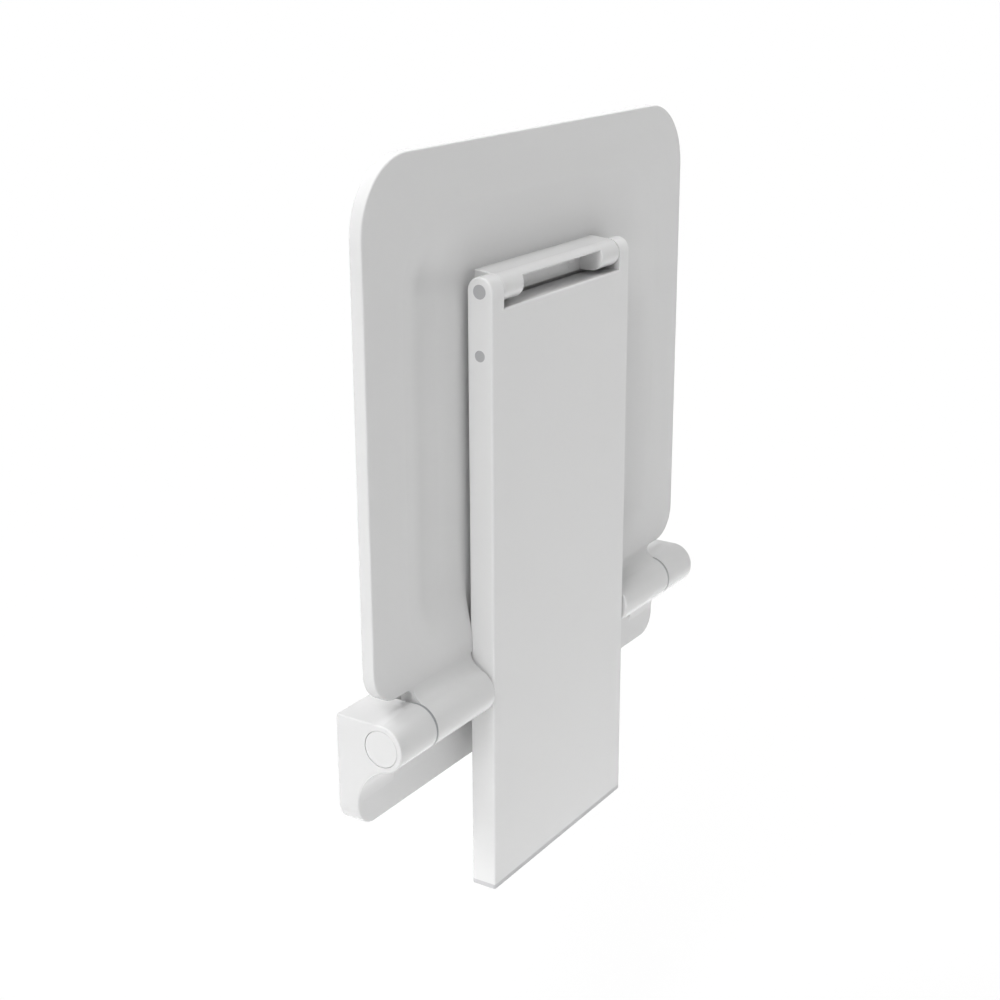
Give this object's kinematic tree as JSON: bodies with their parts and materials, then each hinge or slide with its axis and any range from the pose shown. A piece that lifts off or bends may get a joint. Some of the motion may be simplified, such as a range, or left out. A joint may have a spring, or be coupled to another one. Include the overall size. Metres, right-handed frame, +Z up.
{
  "type": "folding shower seat",
  "caption": "White wall-mounted folding shower seat: a flat seat hinged on a bracket, with a panel leg that swings down to the floor.",
  "frame": {"origin": "centre of the four wall screw holes, on the wall face that the bracket lies against", "axes": "+X to the right along the wall, +Y into the wall so that the seat stands out towards -Y, +Z up"},
  "size_m": [0.424, 0.0535, 0.5495],
  "materials": {
    "white_body": "satin",
    "white_coated_aluminium": "satin",
    "white_coated_steel": "satin",
    "stainless": "satin",
    "pin_steel": "satin",
    "brass": "satin",
    "bush_plastic": "satin",
    "core_plastic": "matte",
    "pad_rubber": "matte"
  },
  "bodies": {
    "bracket": {"wall_bracket": "white_body", "wall_plate": "stainless", "lock_screws": "stainless", "axle_screws": "stainless", "end_cap_left": "white_body", "end_cap_right": "white_body", "hinge_axle_left": "stainless", "hinge_axle_right": "stainless"},
    "seat": {"seat_panel": "white_body", "outer_bush_left": "bush_plastic", "outer_bush_right": "bush_plastic", "inner_bush_left": "bush_plastic", "inner_bush_right": "bush_plastic", "hinge_block": "white_body", "block_screws": "white_coated_steel", "block_inserts": "brass", "pivot_bush_left": "bush_plastic", "pivot_bush_right": "bush_plastic"},
    "leg": {"leg_shell": "white_coated_aluminium", "leg_core": "core_plastic", "pivot_pin_left": "pin_steel", "pivot_pin_right": "pin_steel", "lower_pin_left": "pin_steel", "lower_pin_right": "pin_steel", "foot_pad": "pad_rubber"}
  },
  "joints": [
    {"name": "seat_fold", "type": "hinge", "parent": "bracket", "child": "seat", "pos_m": [0, -0.0365, 0.025], "axis": [1, 0, 0], "range_deg": [0, 90]},
    {"name": "leg_swing", "type": "hinge", "parent": "seat", "child": "leg", "pos_m": [0, -0.0407, 0.314], "axis": [1, 0, 0], "range_deg": [-90, 0]}
  ],
  "couplings": [
    {"joint": "leg_swing", "follows": "seat_fold", "ratio": -1}
  ]
}
